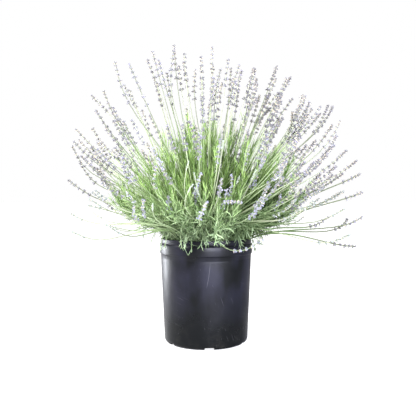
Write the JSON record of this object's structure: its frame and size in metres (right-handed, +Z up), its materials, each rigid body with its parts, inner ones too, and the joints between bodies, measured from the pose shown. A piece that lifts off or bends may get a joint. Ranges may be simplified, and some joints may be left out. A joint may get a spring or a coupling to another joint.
{
  "type": "potted lavender",
  "caption": "Bushy flowering lavender in a round black nursery pot of soil, with thin stalks that end in interrupted flower spikes; a garden or patio plant that stands on its flat base.",
  "frame": {"origin": "centre of the pot's flat underside, on the pot's axis", "axes": "+Z up along the pot's axis; -Y towards the viewer of the picture, +X to the viewer's right"},
  "size_m": [0.645, 0.6884, 0.6934],
  "materials": {
    "pot": "thin blow-moulded plastic, satin, lightly scuffed",
    "soil": "dark, crumbly and matte",
    "flower_stalks": "matte and finely downy",
    "leaves": "soft satin green with a grey bloom"
  },
  "bodies": {
    "root": {"pot": "pot", "potting_soil": "soil", "flower_spray_01": "flower_stalks", "flower_spray_02": "flower_stalks", "flower_spray_03": "flower_stalks", "flower_spray_04": "flower_stalks", "flower_spray_05": "flower_stalks", "flower_spray_06": "flower_stalks", "flower_spray_07": "flower_stalks", "flower_spray_08": "flower_stalks", "flower_spray_09": "flower_stalks", "flower_spray_10": "flower_stalks", "flower_spray_11": "flower_stalks", "flower_spray_12": "flower_stalks", "flower_spray_13": "flower_stalks", "flower_spray_14": "flower_stalks", "flower_spray_15": "flower_stalks", "flower_spray_16": "flower_stalks", "flower_spray_17": "flower_stalks", "flower_spray_18": "flower_stalks", "flower_spray_19": "flower_stalks", "flower_spray_20": "flower_stalks", "flower_spray_21": "flower_stalks", "flower_spray_22": "flower_stalks", "flower_spray_23": "flower_stalks", "flower_spray_24": "flower_stalks", "flower_spray_25": "flower_stalks", "flower_spray_26": "flower_stalks", "flower_spray_27": "flower_stalks", "flower_spray_28": "flower_stalks", "flower_spray_29": "flower_stalks", "leafy_branch_01": "leaves", "leafy_branch_02": "leaves", "leafy_branch_03": "leaves", "leafy_branch_04": "leaves", "leafy_branch_05": "leaves", "leafy_branch_06": "leaves", "leafy_branch_07": "leaves", "leafy_branch_08": "leaves", "leafy_branch_09": "leaves", "leafy_branch_10": "leaves", "leafy_branch_11": "leaves", "leafy_branch_12": "leaves", "leafy_branch_13": "leaves", "leafy_branch_14": "leaves", "leafy_branch_15": "leaves", "leafy_branch_16": "leaves", "leafy_branch_17": "leaves", "leafy_branch_18": "leaves", "leafy_branch_19": "leaves"}
  },
  "joints": []
}
